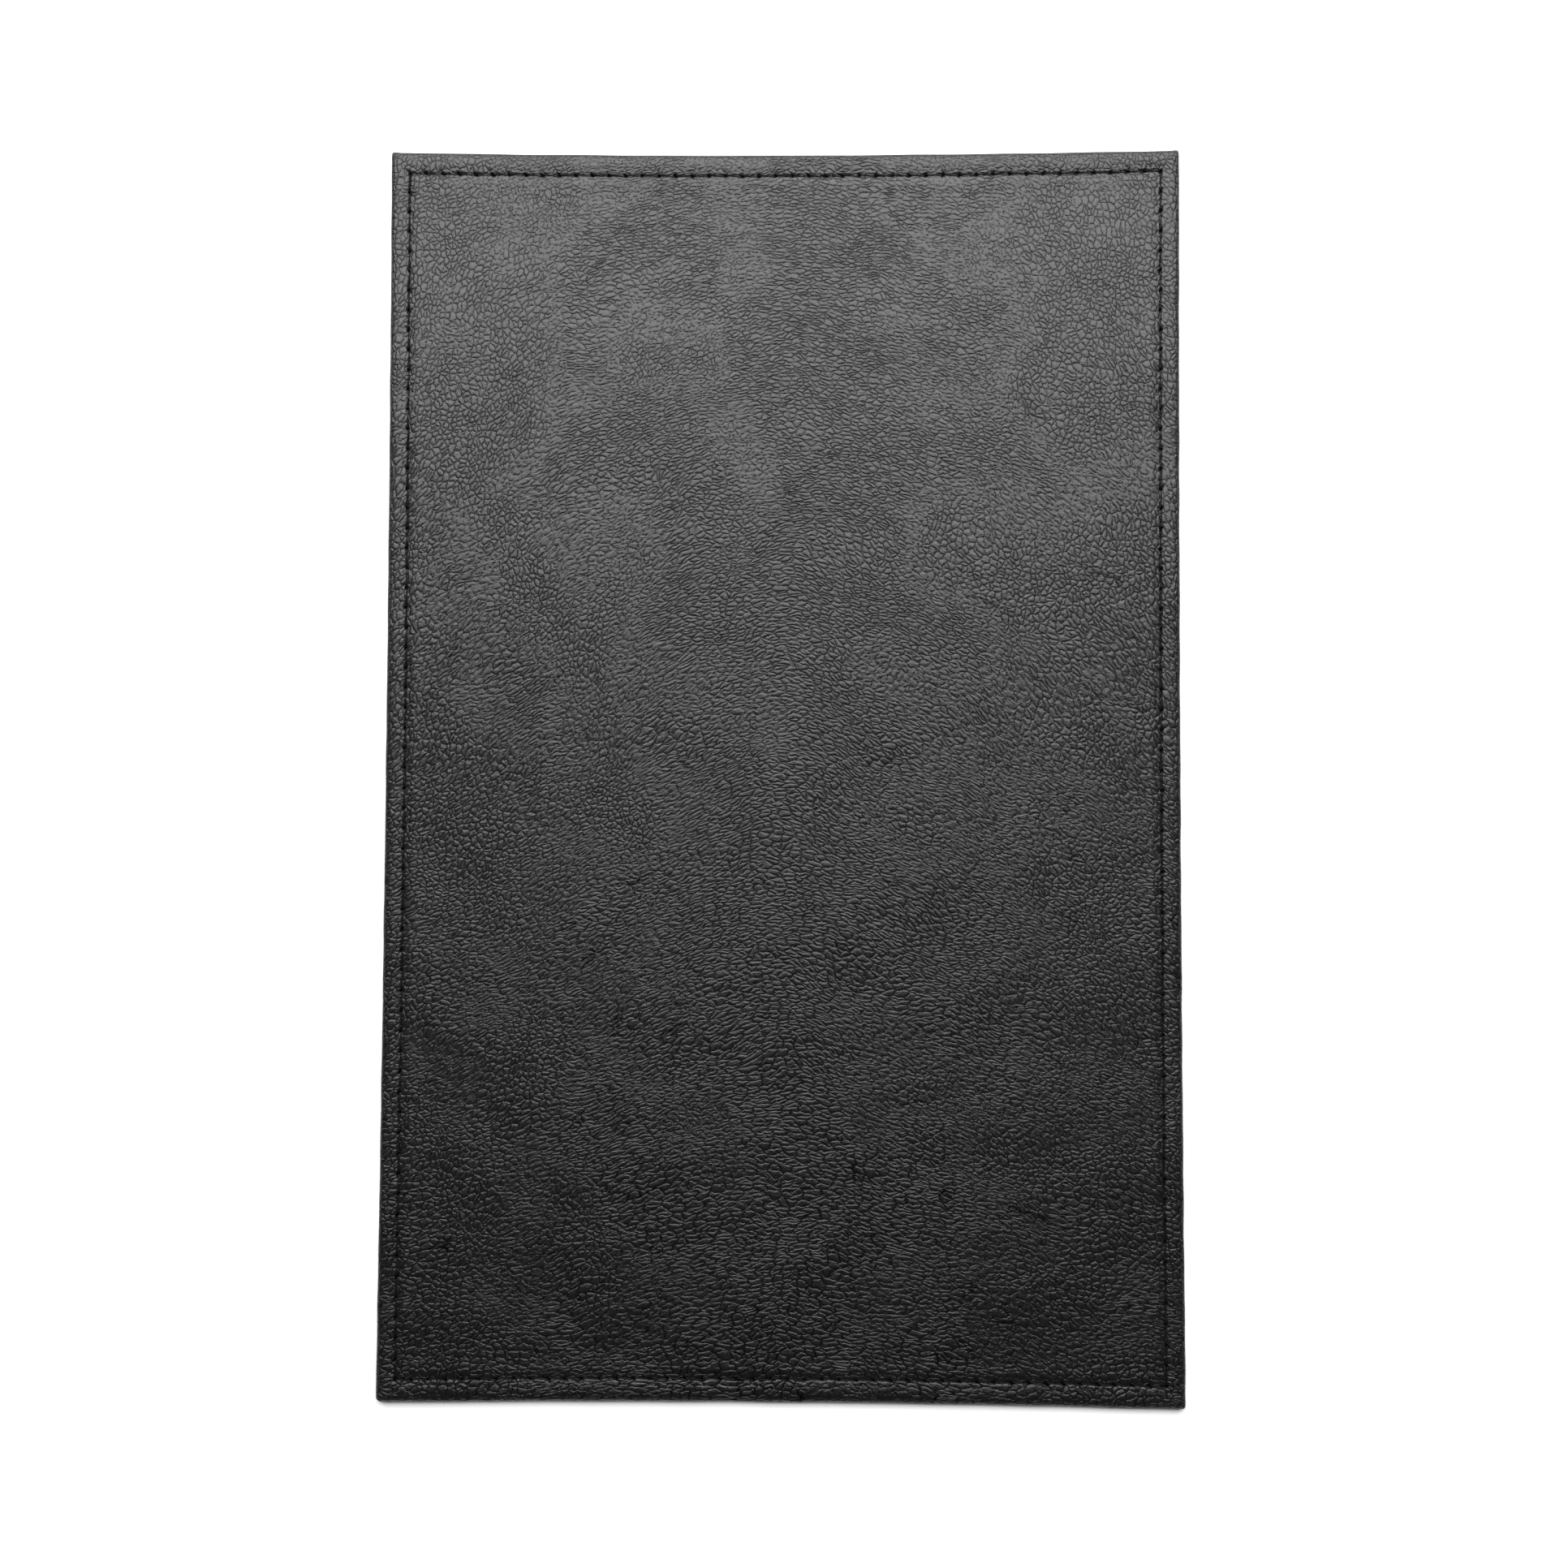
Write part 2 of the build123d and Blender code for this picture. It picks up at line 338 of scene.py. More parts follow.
    def hole_shade(self, inset, pick):
        """1 in the needle holes and less along the sewn line, where light hardly reaches."""
        off = inset - self.side_seam
        gap = self.hole_gap(pick)
        # The shade is longer along the seam than across it, with a fairly sharp rim
        across_reach, along_reach, rim = 0.6, 0.85, 1.5
        hole = np.exp(-((off / across_reach) ** 2 + (gap / along_reach) ** 2) ** rim)
        line_shade, line_reach = 0.3, 0.25
        return np.maximum(hole, line_shade * math.exp(-(off / line_reach) ** 2))


class Skin:
    """A closed mesh made of rows that follow each other round the mat's section."""

    def __init__(self, plan):
        self.plan = plan
        self.points, self.flat, self.shade, self.faces, self.sides = [], [], [], [], []
        self.count = 0
        self.last = None

    def _add(self, x, y, z, flat_x, flat_y, shade=0.0):
        start = self.count
        x, y, z, flat_x, flat_y, shade = np.broadcast_arrays(x, y, z, flat_x, flat_y, shade)
        self.points.append(np.stack([x, y, z], 1))
        self.flat.append(np.stack([flat_x, flat_y], 1))
        self.shade.append(shade)
        self.count += len(x)
        return start + np.arange(len(x))

    def _face(self, corners, side):
        self.faces.append(corners)
        self.sides.append(np.full(len(corners), side))

    def row(self, x, y, z, flat, side, shade=0.0):
        """Adds a row and joins it to the one before, halving or doubling its columns."""
        new = self._add(x, y, z, *flat, shade)
        if self.last is not None:
            self._join(self.last, new, side)
        self.last = new
        return new

    def _join(self, old, new, side):
        old_next, new_next = np.roll(old, -1), np.roll(new, -1)
        if len(old) == len(new):
            self._face(np.stack([old, new, new_next, old_next], 1), side)
        elif len(old) < len(new):
            first, middle, end = new[::2], new[1::2], np.roll(new[::2], -1)
            self._face(np.stack([old, first, middle], 1), side)
            self._face(np.stack([old, middle, old_next], 1), side)
            self._face(np.stack([old_next, middle, end], 1), side)
        else:
            first, middle, end = old[::2], old[1::2], np.roll(old[::2], -1)
            self._face(np.stack([first, new, middle], 1), side)
            self._face(np.stack([middle, new, new_next], 1), side)
            self._face(np.stack([middle, new_next, end], 1), side)

    def panel(self, ring, per_stitch, inset, level, side, upward):
        """Fills the middle inside a row with a grid, level(x, y, inset) giving its height."""
        plan = self.plan
        wide = plan.sizes.end_stitches * per_stitch
        long = plan.sizes.side_stitches * per_stitch
        across, along = np.meshgrid(
            np.linspace(-1, 1, wide + 1)[1:-1], np.linspace(-1, 1, long + 1)[1:-1],
            indexing="ij")
        x, y = plan.spread(across.ravel(), along.ravel(), *plan.margins(inset))
        from_edge = np.minimum(plan.half_width - np.abs(x), plan.half_length - np.abs(y))
        inner = self._add(x, y, level(x, y, from_edge), x, y)
        grid = np.empty((wide + 1, long + 1), int)
        grid[1:-1, 1:-1] = inner.reshape(wide - 1, long - 1)
        grid[:, 0] = ring[:wide + 1]
        grid[-1, :] = ring[wide:wide + long + 1]
        grid[::-1, -1] = ring[wide + long:2 * wide + long + 1]
        grid[0, ::-1] = np.append(ring[2 * wide + long:], ring[0])
        corners = [grid[:-1, :-1], grid[1:, :-1], grid[1:, 1:], grid[:-1, 1:]]
        if not upward:
            corners.reverse()
        self._face(np.stack([c.ravel() for c in corners], 1), side)

    def make(self, name, islands):
        """The finished object. islands gives each side's scale and place in the bake layout."""
        points, flat = np.concatenate(self.points), np.concatenate(self.flat)
        faces = [face for block in self.faces for face in block.tolist()]
        mesh = new_mesh(name, (points * MM).tolist(), faces)
        place = np.column_stack([flat, np.zeros(len(flat))])
        mesh.attributes.new("flat_place", "FLOAT_VECTOR", "POINT").data.foreach_set(
            "vector", place.astype(np.float32).ravel())
        mesh.attributes.new("hole_shade", "FLOAT", "POINT").data.foreach_set(
            "value", np.concatenate(self.shade).astype(np.float32))
        loop_points = np.zeros(len(mesh.loops), int)
        mesh.loops.foreach_get("vertex_index", loop_points)
        lengths = np.array([len(face) for face in faces])
        loop_side = np.repeat(np.concatenate(self.sides), lengths)
        table = np.array(islands, float)[loop_side]
        spots = flat[loop_points] * table[:, :1] + table[:, 1:3]
        layer = mesh.uv_layers.new(name="OFBake")
        layer.data.foreach_set("uv", spots.astype(np.float32).ravel())
        return new_object(name, mesh)


OUTSIDE, INSIDE = 0, 1
# Scale per millimetre and middle of each side's island, for a mat of about 310 by 470 laid flat
ISLANDS = ((0.99 / 476, 0.335, 0.5), (0.99 / 1010, 0.83, 0.25))


def level_at(height):
    """A level function for a panel that is flat."""
    return lambda x, y, inset: height + 0 * x


def cover_skin(plan):
    """The leather: panel, seam, rolled edge and hem, and back along its inner face."""
    skin = Skin(plan)
    seam, thick = plan.side_seam, plan.leather
    shoulder, mid = plan.sizes.shoulder / MM, (plan.top + plan.hem_bottom) / 2
    low, hem = plan.hem_bottom, plan.sizes.hem_width / MM
    edge_wander, roll, fold = 0.1, 1.15, 1.1
    start = seam + PANEL_START
    # Each row's distance inside the seam, and its columns to a stitch
    outer_rows = [(PANEL_START, 2), (6.2, 4), (4.8, 8), (3.8, 8), (3.0, 8), (2.3, 8), (1.7, 8),
                  (1.25, 8), (0.9, 8), (0.6, 8), (0.3, 8), (0, 8), (-0.3, 8), (-0.6, 8),
                  (-0.9, 8), (-1.25, 8), (-1.7, 8), (-2.3, 8), (-3.0, 8), (-3.8, 8)]
    flat_inset = before = None

    def outer(inset, level, per_stitch, outward=0.0, push=0.0):
        nonlocal flat_inset, before
        base = level if level is not None else plan.top + plan.seam_relief(inset)
        if before is None:
            flat_inset = inset
        else:
            flat_inset -= math.hypot(inset - before[0], base - before[1])
        before = inset, base
        x, y = plan.row(inset, per_stitch, outward, push)
        z, shade = level, 0.0
        if level is None:
            pick = plan.columns(per_stitch)
            z, shade = plan.top_level(inset, x, y, pick), plan.hole_shade(inset, pick)
        return skin.row(x, y, z, plan.flat_row(flat_inset, per_stitch), OUTSIDE, shade)

    def panel_top(x, y, inset):
        return plan.top + plan.seam_relief(inset) + plan.panel_wave(x, y, inset)

    ring = outer(start, None, 2)
    skin.panel(ring, 2, start, panel_top, OUTSIDE, upward=True)
    for off, per_stitch in outer_rows[1:]:
        outer(seam + off, None, per_stitch)
    edge_top = plan.top + plan.seam_relief(shoulder)
    for turn in map(math.radians, (0, 20, 40, 57, 74, 90)):
        outer(shoulder * (1 - math.sin(turn)), mid + (edge_top - mid) * math.cos(turn), 8,
              edge_wander * math.sin(turn), math.sin(turn) ** 2)
    for turn in map(math.radians, (24, 48, 70, 90)):
        outer(roll * (1 - math.cos(turn)), mid - (mid - low) * math.sin(turn), 8,
              edge_wander * math.cos(turn), math.cos(turn))
    hem_rows = (6.0, hem - 0.3)
    outer(3.0, low, 4)
    for inset in hem_rows:
        outer(inset, low, 2)
    outer(hem, low + 0.25, 2)

    def inner(inset, level, per_stitch=2):
        x, y = plan.row(inset, per_stitch)
        base = plan.top + plan.seam_relief(inset) - thick
        z = base + plan.panel_wave(x, y, inset) if level is None else level
        return skin.row(x, y, z, plan.flat_row(inset, per_stitch), INSIDE)

    inner(hem, low + thick - 0.15)
    for inset in (*hem_rows[::-1], 2.0, fold):
        inner(inset, low + thick)
    for turn in map(math.radians, (45, 90)):
        inner(fold - 0.4 * math.sin(turn), low + thick + 0.25 * (1 - math.cos(turn)))
    inner_top = edge_top - thick
    for turn in map(math.radians, (90, 65, 42, 20)):
        inner(shoulder - (shoulder - thick) * math.sin(turn),
              mid + (inner_top - mid) * math.cos(turn))
    for off in (shoulder - seam, -3.0, -1.8, -0.9, 0, 0.9, 1.8, 3.0, 5.0):
        inner(seam + off, None)
    ring = inner(start, None, 1)
    skin.panel(ring, 1, start, lambda x, y, inset: panel_top(x, y, inset) - thick,
               INSIDE, upward=False)
    return skin.make("cover", ISLANDS)


def padding_skin(plan):
    """The foam sheet, which follows the inner face of the leather."""
    skin = Skin(plan)
    seam, gap = plan.side_seam, 0.02
    low_box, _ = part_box("padding_foam")
    low = low_box.z / MM
    shoulder = plan.sizes.shoulder / MM
    start = seam + PANEL_START

    def ring(inset, level, per_stitch=1, side=OUTSIDE):
        x, y = plan.row(inset, per_stitch)
        base = plan.top + plan.seam_relief(inset) - plan.leather - gap
        z = base + plan.panel_wave(x, y, inset) if level is None else level
        return skin.row(x, y, z, plan.flat_row(inset, per_stitch), side)

    def panel_top(x, y, inset):
        level = plan.top + plan.seam_relief(inset) + plan.panel_wave(x, y, inset)
        return level - plan.leather - gap

    skin.panel(ring(start, None), 1, start, panel_top, OUTSIDE, upward=True)
    for off in (5.0, 3.0, 1.8, 0.9, 0, -0.9, -1.8, -3.0, shoulder - seam):
        ring(seam + off, None, 2)
    mid, inset_wall, least_wall = (plan.top + plan.hem_bottom) / 2, 0.95, 0.06
    top = plan.top + plan.seam_relief(shoulder) - plan.leather - gap
    for turn in map(math.radians, (25, 48, 66)):
        level = mid + (top - mid) * math.cos(turn)
        inset = shoulder - (shoulder - inset_wall) * math.sin(turn)
        ring(inset, max(level, low + least_wall), 2)
    ring(inset_wall + 0.08, low, 2, INSIDE)
    ring(3.0, low, 1, INSIDE)
    skin.panel(ring(start, low, 1, INSIDE), 1, start, level_at(low), INSIDE, upward=False)
    return skin.make("padding", ISLANDS)


def backing_skin(plan):
    """The backing: flat under the hem, with a channel for the seam and a step up inside."""
    skin = Skin(plan)
    seam = plan.side_seam
    low_box, high_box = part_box("backing_sheet")
    low, high = low_box.z / MM, high_box.z / MM
    thick, hem = 0.7, plan.sizes.hem_width / MM
    step_top, step_low = hem + 2.5, hem + 0.5
    margin = plan.half_width - high_box.x / MM
    rise = high - thick

    def ring(inset, level, per_stitch=1, side=OUTSIDE):
        x, y = plan.row(inset, per_stitch)
        return skin.row(x, y, level, plan.flat_row(inset, per_stitch), side)

    start = step_top + 2.0
    skin.panel(ring(start, high, 1, INSIDE), 1, start, level_at(high), INSIDE, upward=True)
    for inset, level in ((step_top, high - 0.02), (step_low, low + thick),
                         (seam, low + thick), (margin + 0.2, low + thick)):
        ring(inset, level, 1, INSIDE)
    for inset, level in ((margin, low + 0.5), (margin, low + 0.2), (margin + 0.12, low + 0.05),
                         (margin + 0.35, low)):
        ring(inset, level, 2)
    # The channel that the thread lies in, a little deeper at each hole
    pick = plan.columns(4)
    holes = np.exp(-((plan.phase[pick] + 0.5) % 1 - 0.5) ** 2 / 0.01)
    channel_depth, hole_depth = 0.5, 0.1
    for off in (-1.7, -1.2, -0.9, -0.5, 0, 0.5, 0.9, 1.2, 1.7):
        depth = channel_depth * (1 - smooth(0.55, 1.5, abs(off)))
        ring(seam + off, low + depth + hole_depth * holes * math.exp(-off ** 2 / 0.4), 4)
    for inset, level in ((step_low - 0.4, low), (step_low + 0.2, low + 0.1),
                         (step_top - 0.1, low + rise - 0.05), (step_top + 0.4, low + rise)):
        ring(inset, level, 2 if inset < step_low else 1)
    skin.panel(ring(start, low + rise, 1), 1, start, level_at(low + rise), OUTSIDE,
               upward=False)
    return skin.make("backing", ISLANDS)


def thread_path(plan, run_level, lock_level, side, twist):
    """One thread of the lockstitch, in the order it is sewn, with its corners cut."""
    holes = plan.holes()
    count = len(holes)
    # Half the width of a loop, the run that bends down to a hole, and the lock's share of it
    loop, leg, cut = 0.46, 0.22, 0.41
    along = np.roll(holes, -1, 0) - np.roll(holes, 1, 0)
    along /= np.linalg.norm(along, axis=1)[:, None]
    cosine, sine = math.cos(twist), math.sin(twist)
    spread = loop * np.stack([along[:, 0] * cosine - along[:, 1] * sine,
                              along[:, 0] * sine + along[:, 1] * cosine], 1)
    loop_end = lock_level - side * loop / 2
    shoulder = loop_end + side * loop * 0.6
    draw = np.random.RandomState(SEED + 9)
    points = []
    for i in range(count):
        after = (i + 1) % count
        leave, arrive = holes[i] + spread[i], holes[after] - spread[after]
        ahead = (arrive - leave) / np.linalg.norm(arrive - leave) * leg
        sway = draw.uniform(-0.1, 0.1) * np.array([-ahead[1], ahead[0]]) / leg
        bulge = draw.uniform(0.02, 0.12)
        points.append((*leave, shoulder))
        points.append((*leave, run_level - side * leg))
        for share in np.linspace(0, 1, 9):
            hump = math.sin(math.pi * share)
            spot = leave + ahead + (arrive - leave - 2 * ahead) * share + sway * hump
            points.append((*spot, run_level + side * bulge * hump))
        points.append((*arrive, run_level - side * leg))
        points.append((*arrive, shoulder))
        points.append((*(holes[after] - spread[after] * cut), loop_end))
        points.append((*(holes[after] + spread[after] * cut), loop_end))
    path = np.array(points[:-2])
    cuts = np.empty((2 * len(path), 3))
    cuts[0], cuts[-1] = path[0], path[-1]
    cuts[1:-1:2] = 0.75 * path[:-1] + 0.25 * path[1:]
    cuts[2:-1:2] = 0.25 * path[:-1] + 0.75 * path[1:]
    return cuts


def plied_tube(name, path, width, turn_length=2.1, sides=9, plies=3):
    """A thread of twisted plies along a path, closed at both ends."""
    ahead = np.gradient(path, axis=0)
    ahead /= np.linalg.norm(ahead, axis=1)[:, None]
    steps = np.linalg.norm(np.diff(path, axis=0), axis=1)
    length = np.concatenate([[0], np.cumsum(steps)])
    first = Vector(ahead[0])
    across = first.orthogonal().normalized()
    rights = []
    before = first
    for direction in ahead:
        now = Vector(direction)
        across = before.rotation_difference(now) @ across
        across = (across - now * across.dot(now)).normalized()
        rights.append(across[:])
        before = now
    right = np.array(rights)
    up = np.cross(ahead, right)
    turn = np.arange(sides) * 2 * math.pi / sides
    core, bulge = 0.84, 0.16
    radius = width / 2 * (core + bulge * np.cos(plies * turn))
    spin = turn[None, :] + 2 * math.pi * length[:, None] / turn_length
    ring = radius[None, :, None] * (np.cos(spin)[..., None] * right[:, None]
                                    + np.sin(spin)[..., None] * up[:, None])
    points = (path[:, None] + ring).reshape(-1, 3)
    rows, around = len(path), np.arange(sides)
    start = np.arange(rows - 1)[:, None] * sides
    after = (around + 1) % sides
    quads = np.stack([start + around, start + after, start + sides + after,
                      start + sides + around], 2).reshape(-1, 4)
    faces = quads.tolist()
    faces.append(list(range(sides))[::-1])
    faces.append([(rows - 1) * sides + i for i in range(sides)])
    mesh = new_mesh(name, (points * MM).tolist(), faces)
    # The bake layout lays short lengths of the thread side by side
    strip_rows, strip_share = 160, 0.9
    strips = math.ceil(rows / strip_rows)
    spots = []
    strip, place = np.arange(rows - 1) // strip_rows, np.arange(rows - 1) % strip_rows
    for next_row, next_side in ((0, 0), (0, 1), (1, 1), (1, 0)):
        u = (place + next_row)[:, None] / strip_rows * np.ones(sides)
        v = (strip[:, None] + strip_share * (around + next_side) / sides) / strips
        spots.append(np.stack([u, v], 2))
    layout = np.stack(spots, 2).reshape(-1, 2)
    layer = mesh.uv_layers.new(name="OFBake")
    caps = np.zeros((2 * sides, 2))
    layer.data.foreach_set("uv", np.concatenate([layout, caps]).astype(np.float32).ravel())
    return new_object(name, mesh)


# ---------------------------------------------------------------- finishes

class Tone:
    """A number on a shader socket. Arithmetic on it adds Math nodes."""

    def __init__(self, shader, socket):
        self.shader, self.socket = shader, socket

    def _math(self, operation, first, second):
        sockets = {0: first, 1: second}
        return self.shader.node("ShaderNodeMath", {"operation": operation}, sockets)

    def __add__(self, other):
        return self._math("ADD", self, other)

    def __sub__(self, other):
        return self._math("SUBTRACT", self, other)

    def __rsub__(self, other):
        return self._math("SUBTRACT", other, self)

    def __mul__(self, other):
        return self._math("MULTIPLY", self, other)

    def __pow__(self, other):
        return self._math("POWER", self, other)

    __radd__, __rmul__ = __add__, __mul__

    def rise(self, low, high):
        """0 below low, 1 above high, and a smooth rise between them."""
        return self.shader.node(
            "ShaderNodeMapRange", {"interpolation_type": "SMOOTHSTEP"},
            {"Value": self, "From Min": low, "From Max": high})

    def size(self):
        """The number without its sign."""
        return self._math("ABSOLUTE", self, 0)


class Shader:
    """One procedural material."""

    def __init__(self, name):
        self.material = bpy.data.materials.new(name)
        self.material.use_nodes = True
        self.tree = self.material.node_tree
        self.tree.nodes.clear()

    def node(self, kind, settings=None, sockets=None, output=0):
        """Adds a node: its settings first, then a value or a link for each socket."""
        made = self.tree.nodes.new(kind)
        for setting, value in (settings or {}).items():
            setattr(made, setting, value)
        for socket, value in (sockets or {}).items():
            if isinstance(value, Tone):
                self.tree.links.new(value.socket, made.inputs[socket])
            else:
                made.inputs[socket].default_value = value
        return Tone(self, made.outputs[output])

    def vector(self, operation, *values):
        """Vector Math on vectors or links."""
        sockets = dict(enumerate(values))
        return self.node("ShaderNodeVectorMath", {"operation": operation}, sockets)

    def flat_place(self):
        """Each point's place on the sheet laid flat, in millimetres."""
        return self.node(
            "ShaderNodeAttribute", {"attribute_name": "flat_place"}, {}, "Vector")

    def object_place(self):
        """Each point's place in the object's frame, in metres."""
        return self.node("ShaderNodeTexCoord", {}, {}, "Object")

    def noise(self, place, width, detail=2.0, output=0):
        """Noise on a plane, its features about a width across."""
        sockets = {"Vector": place, "Scale": 1 / width, "Detail": detail}
        return self.node("ShaderNodeTexNoise", {"noise_dimensions": "2D"}, sockets, output)

    def grit(self, place, scale, detail):
        """Noise in space, finer as its scale grows."""
        return self.node(
            "ShaderNodeTexNoise", {}, {"Vector": place, "Scale": scale, "Detail": detail})

    def cells(self, place, width):
        """Distance from the nearest border between cells of about a width."""
        return self.node(
            "ShaderNodeTexVoronoi",
            {"voronoi_dimensions": "2D", "feature": "DISTANCE_TO_EDGE"},
            {"Vector": place, "Scale": 1 / width, "Randomness": 1.0}, "Distance")

    def blend(self, share, first, second):
        """A colour between two."""
        sockets = {0: share, 6: first, 7: second}
        return self.node("ShaderNodeMix", {"data_type": "RGBA"}, sockets, 2)

    def surface(self, constants, **sockets):
        """Ends the material in one principled surface. Constants stay unlinked."""
        named = {key.replace("_", " "): value for key, value in sockets.items()}
        shown = self.node("ShaderNodeBsdfPrincipled", {}, {**constants, **named})
        self.finish(shown)
        return self.material

    def finish(self, shown):
        """Joins a surface to the material's output."""
        end = self.tree.nodes.new("ShaderNodeOutputMaterial")
        self.tree.links.new(shown.socket, end.inputs["Surface"])

    def bump(self, height, depth):
        """A normal from a height between 0 and 1, in a depth in metres."""
        return self.node(
            "ShaderNodeBump", {}, {"Strength": 1.0, "Distance": depth, "Height": height})


def opaque(colour, share=1.0):
    """A share of a colour, with full alpha."""
    return (*(part * share for part in colour), 1.0)


def leather_finish(look):
    """Black pebbled leather: pebble tops, creases with painted shade, and long folds across
    them.
    """
    shader = Shader("cover_leather")
    pebble, fine = look.pebble / MM, look.fine_grain / MM
    place = shader.flat_place()
    x = shader.node("ShaderNodeSeparateXYZ", {}, {0: place})
    y = shader.node("ShaderNodeSeparateXYZ", {}, {0: place}, 1)
    hole = shader.node("ShaderNodeAttribute", {"attribute_name": "hole_shade"}, {}, "Fac")

    # Widths of the noises, in millimetres, from the slowest to the finest
    zone_width, sweep_width, share_width, mottle_width = 42, 36, 17, 11
    strength_width, fold_width, ruffle_width, fuss_width, dust_width = 6.5, 6.0, 4.2, 1.1, 0.45

    # The grain is larger and bolder towards the near edge, where its painted crease shade is
    # heavier too, and runs in long sweeps that climb to the middle and fall away again
    bold = 1 - y * 0.0032
    arch = (x * x + 300) ** 0.5 * 0.45 * (1 - y.size() * (1 / 300))
    arched = shader.node("ShaderNodeCombineXYZ", {}, {
        0: x * (1 + y * 0.0009), 1: y + y * y * 0.00045 + arch})
    sweep = shader.noise(place, sweep_width, 1.0, "Color")
    swept = shader.vector("MULTIPLY_ADD", sweep, (11, 10, 0), arched)
    ruffle = shader.noise(place, ruffle_width, 2.0, "Color")
    creased = shader.vector("MULTIPLY_ADD", ruffle, (1.8, 1.8, 0), swept)
    fuss = shader.noise(place, fuss_width, 2.0, "Color")
    fretted = shader.vector("MULTIPLY_ADD", fuss, (0.5, 0.5, 0), creased)

    # Round pebbles in some zones and drawn-out ones in others, with finer cells over both
    round_edge = shader.cells(fretted, pebble)
    drawn = shader.vector("MULTIPLY", fretted, (0.62, 1.45, 0))
    drawn_edge = shader.cells(drawn, pebble)
    from_middle = (x.size() * (1 / 140) - 0.5) * 0.45
    zone = (shader.noise(place, zone_width, 2.0) + from_middle).rise(0.3, 0.7)
    edge = drawn_edge + (round_edge - drawn_edge) * zone

    strength = shader.noise(swept, strength_width, 2.0).rise(0.3, 0.6)
    crease = 1 - edge.rise(0.015, 0.14)
    dome = edge.rise(-0.1, 0.4)
    fine_edge = shader.cells(shader.vector("MULTIPLY", fretted, (0.8, 1.2, 0)), fine)
    fine_crease = 1 - fine_edge.rise(0.0, 0.18)

    # A few long creases follow the sweeps
    stray = shader.noise(place, fold_width, 2.0, "Color")
    drift = shader.vector("MULTIPLY_ADD", stray, (3.0, 3.0, 0), swept)
    level = shader.noise(shader.vector("MULTIPLY", drift, (0.2, 1.0, 0)), fold_width, 0.0)
    fold_share = shader.noise(swept, share_width, 1.0).rise(0.42, 0.58)
    fold = (1 - (level - 0.5).size().rise(0.002, 0.018)) * fold_share

    dust = shader.noise(place, dust_width, 3.0)
    relief = (dome * 0.5 - crease * (0.14 + 0.12 * strength)
              - fine_crease * 0.09 - fold * 0.18)
    height = 0.4 + relief * (0.75 + 0.2 * bold) + dust * 0.05
    # Painted shade: the share of a near-black matt surface mixed into the creases, fine
    # creases, long folds and needle holes, heavier towards the near edge
    painted_shade = ((crease * (0.36 - 0.1 * zone + 0.14 * strength) + fold * 0.36
             + fine_crease * 0.12) * bold + hole * 1.15)
    mottle = shader.noise(place, mottle_width, 3.0)
    top = shader.blend(mottle, opaque(look.leather_colour, 0.85),
                       opaque(look.leather_colour, 1.15))
    normal = shader.bump(height, look.grain_depth)
    leather_surface = shader.node("ShaderNodeBsdfPrincipled", {}, {
        "Specular IOR Level": look.sheen_level, "Base Color": top, "Normal": normal,
        "Roughness": look.roughness - 0.03 + mottle * 0.02 + dust * 0.04})
    # The near-black matt surface that paints shade into the creases, folds and needle holes
    painted_shade_surface = shader.node("ShaderNodeBsdfPrincipled", {}, {
        "Specular IOR Level": 0.03, "Base Color": opaque(look.crease_shade_colour), "Normal": normal,
        "Roughness": 0.9})
    shader.finish(shader.node("ShaderNodeMixShader", {}, {0: painted_shade, 1: leather_surface, 2: painted_shade_surface}))
    return shader.material


def thread_finish(look):
    """Waxed polyester thread."""
    shader = Shader("seam_thread")
    place = shader.object_place()
    streak = shader.grit(place, 5200, 2.0)
    low = opaque(look.thread_colour, 0.6)
    high = opaque(look.thread_colour, 1.7)
    return shader.surface(
        {"Specular IOR Level": 0.15},
        Base_Color=shader.blend(streak, low, high), Roughness=0.5 + streak * 0.25,
        Normal=shader.bump(streak, 0.03 * MM))


def suede_finish(look):
    """The backing's short brushed pile."""
    shader = Shader("backing_suede")
    place = shader.flat_place()
    pile = shader.noise(place, 0.45, 4.0)
    brushed = shader.noise(shader.vector("MULTIPLY", place, (1.0, 0.3, 0)), 14, 4.0)
    low = opaque(look.backing_colour, 0.55)
    high = opaque(look.backing_colour, 1.5)
    return shader.surface(
        {"Specular IOR Level": 0.2, "Sheen Weight": 0.35, "Sheen Roughness": 0.5},
        Base_Color=shader.blend(pile * 0.5 + brushed * 0.5, low, high),
        Roughness=0.85 + pile * 0.12, Normal=shader.bump(pile, 0.12 * MM))


def foam_finish(look):
    """Closed-cell foam with a fine open skin."""
    shader = Shader("padding_foam_cells")
    place = shader.flat_place()
    cell = shader.cells(place, 0.8)
    # Painted shade: the foam is darker along its cell borders, where the bump sinks between the
    # cells
    low = opaque(look.foam_colour, 0.6)
    return shader.surface(
        {"Specular IOR Level": 0.25},
        Base_Color=shader.blend(cell.rise(0.0, 0.4), low, opaque(look.foam_colour)),
        Roughness=0.9 - cell * 0.1, Normal=shader.bump(cell, 0.2 * MM))


def pulp_finish(name, colour, fleck_width, depth):
    """Pressed paper or board, with flecks and fibres."""
    shader = Shader(name)
    place = shader.object_place()
    fibre = shader.grit(place, 1 / fleck_width, 5.0)
    fleck = shader.grit(place, 0.28 / fleck_width, 2.0)
    low, high = opaque(colour, 0.62), opaque(colour, 1.15)
    return shader.surface(
        {"Specular IOR Level": 0.3},
        Base_Color=shader.blend(fibre * 0.6 + fleck * 0.4, low, high),
        Roughness=0.72 + fibre * 0.2, Normal=shader.bump(fibre, depth))


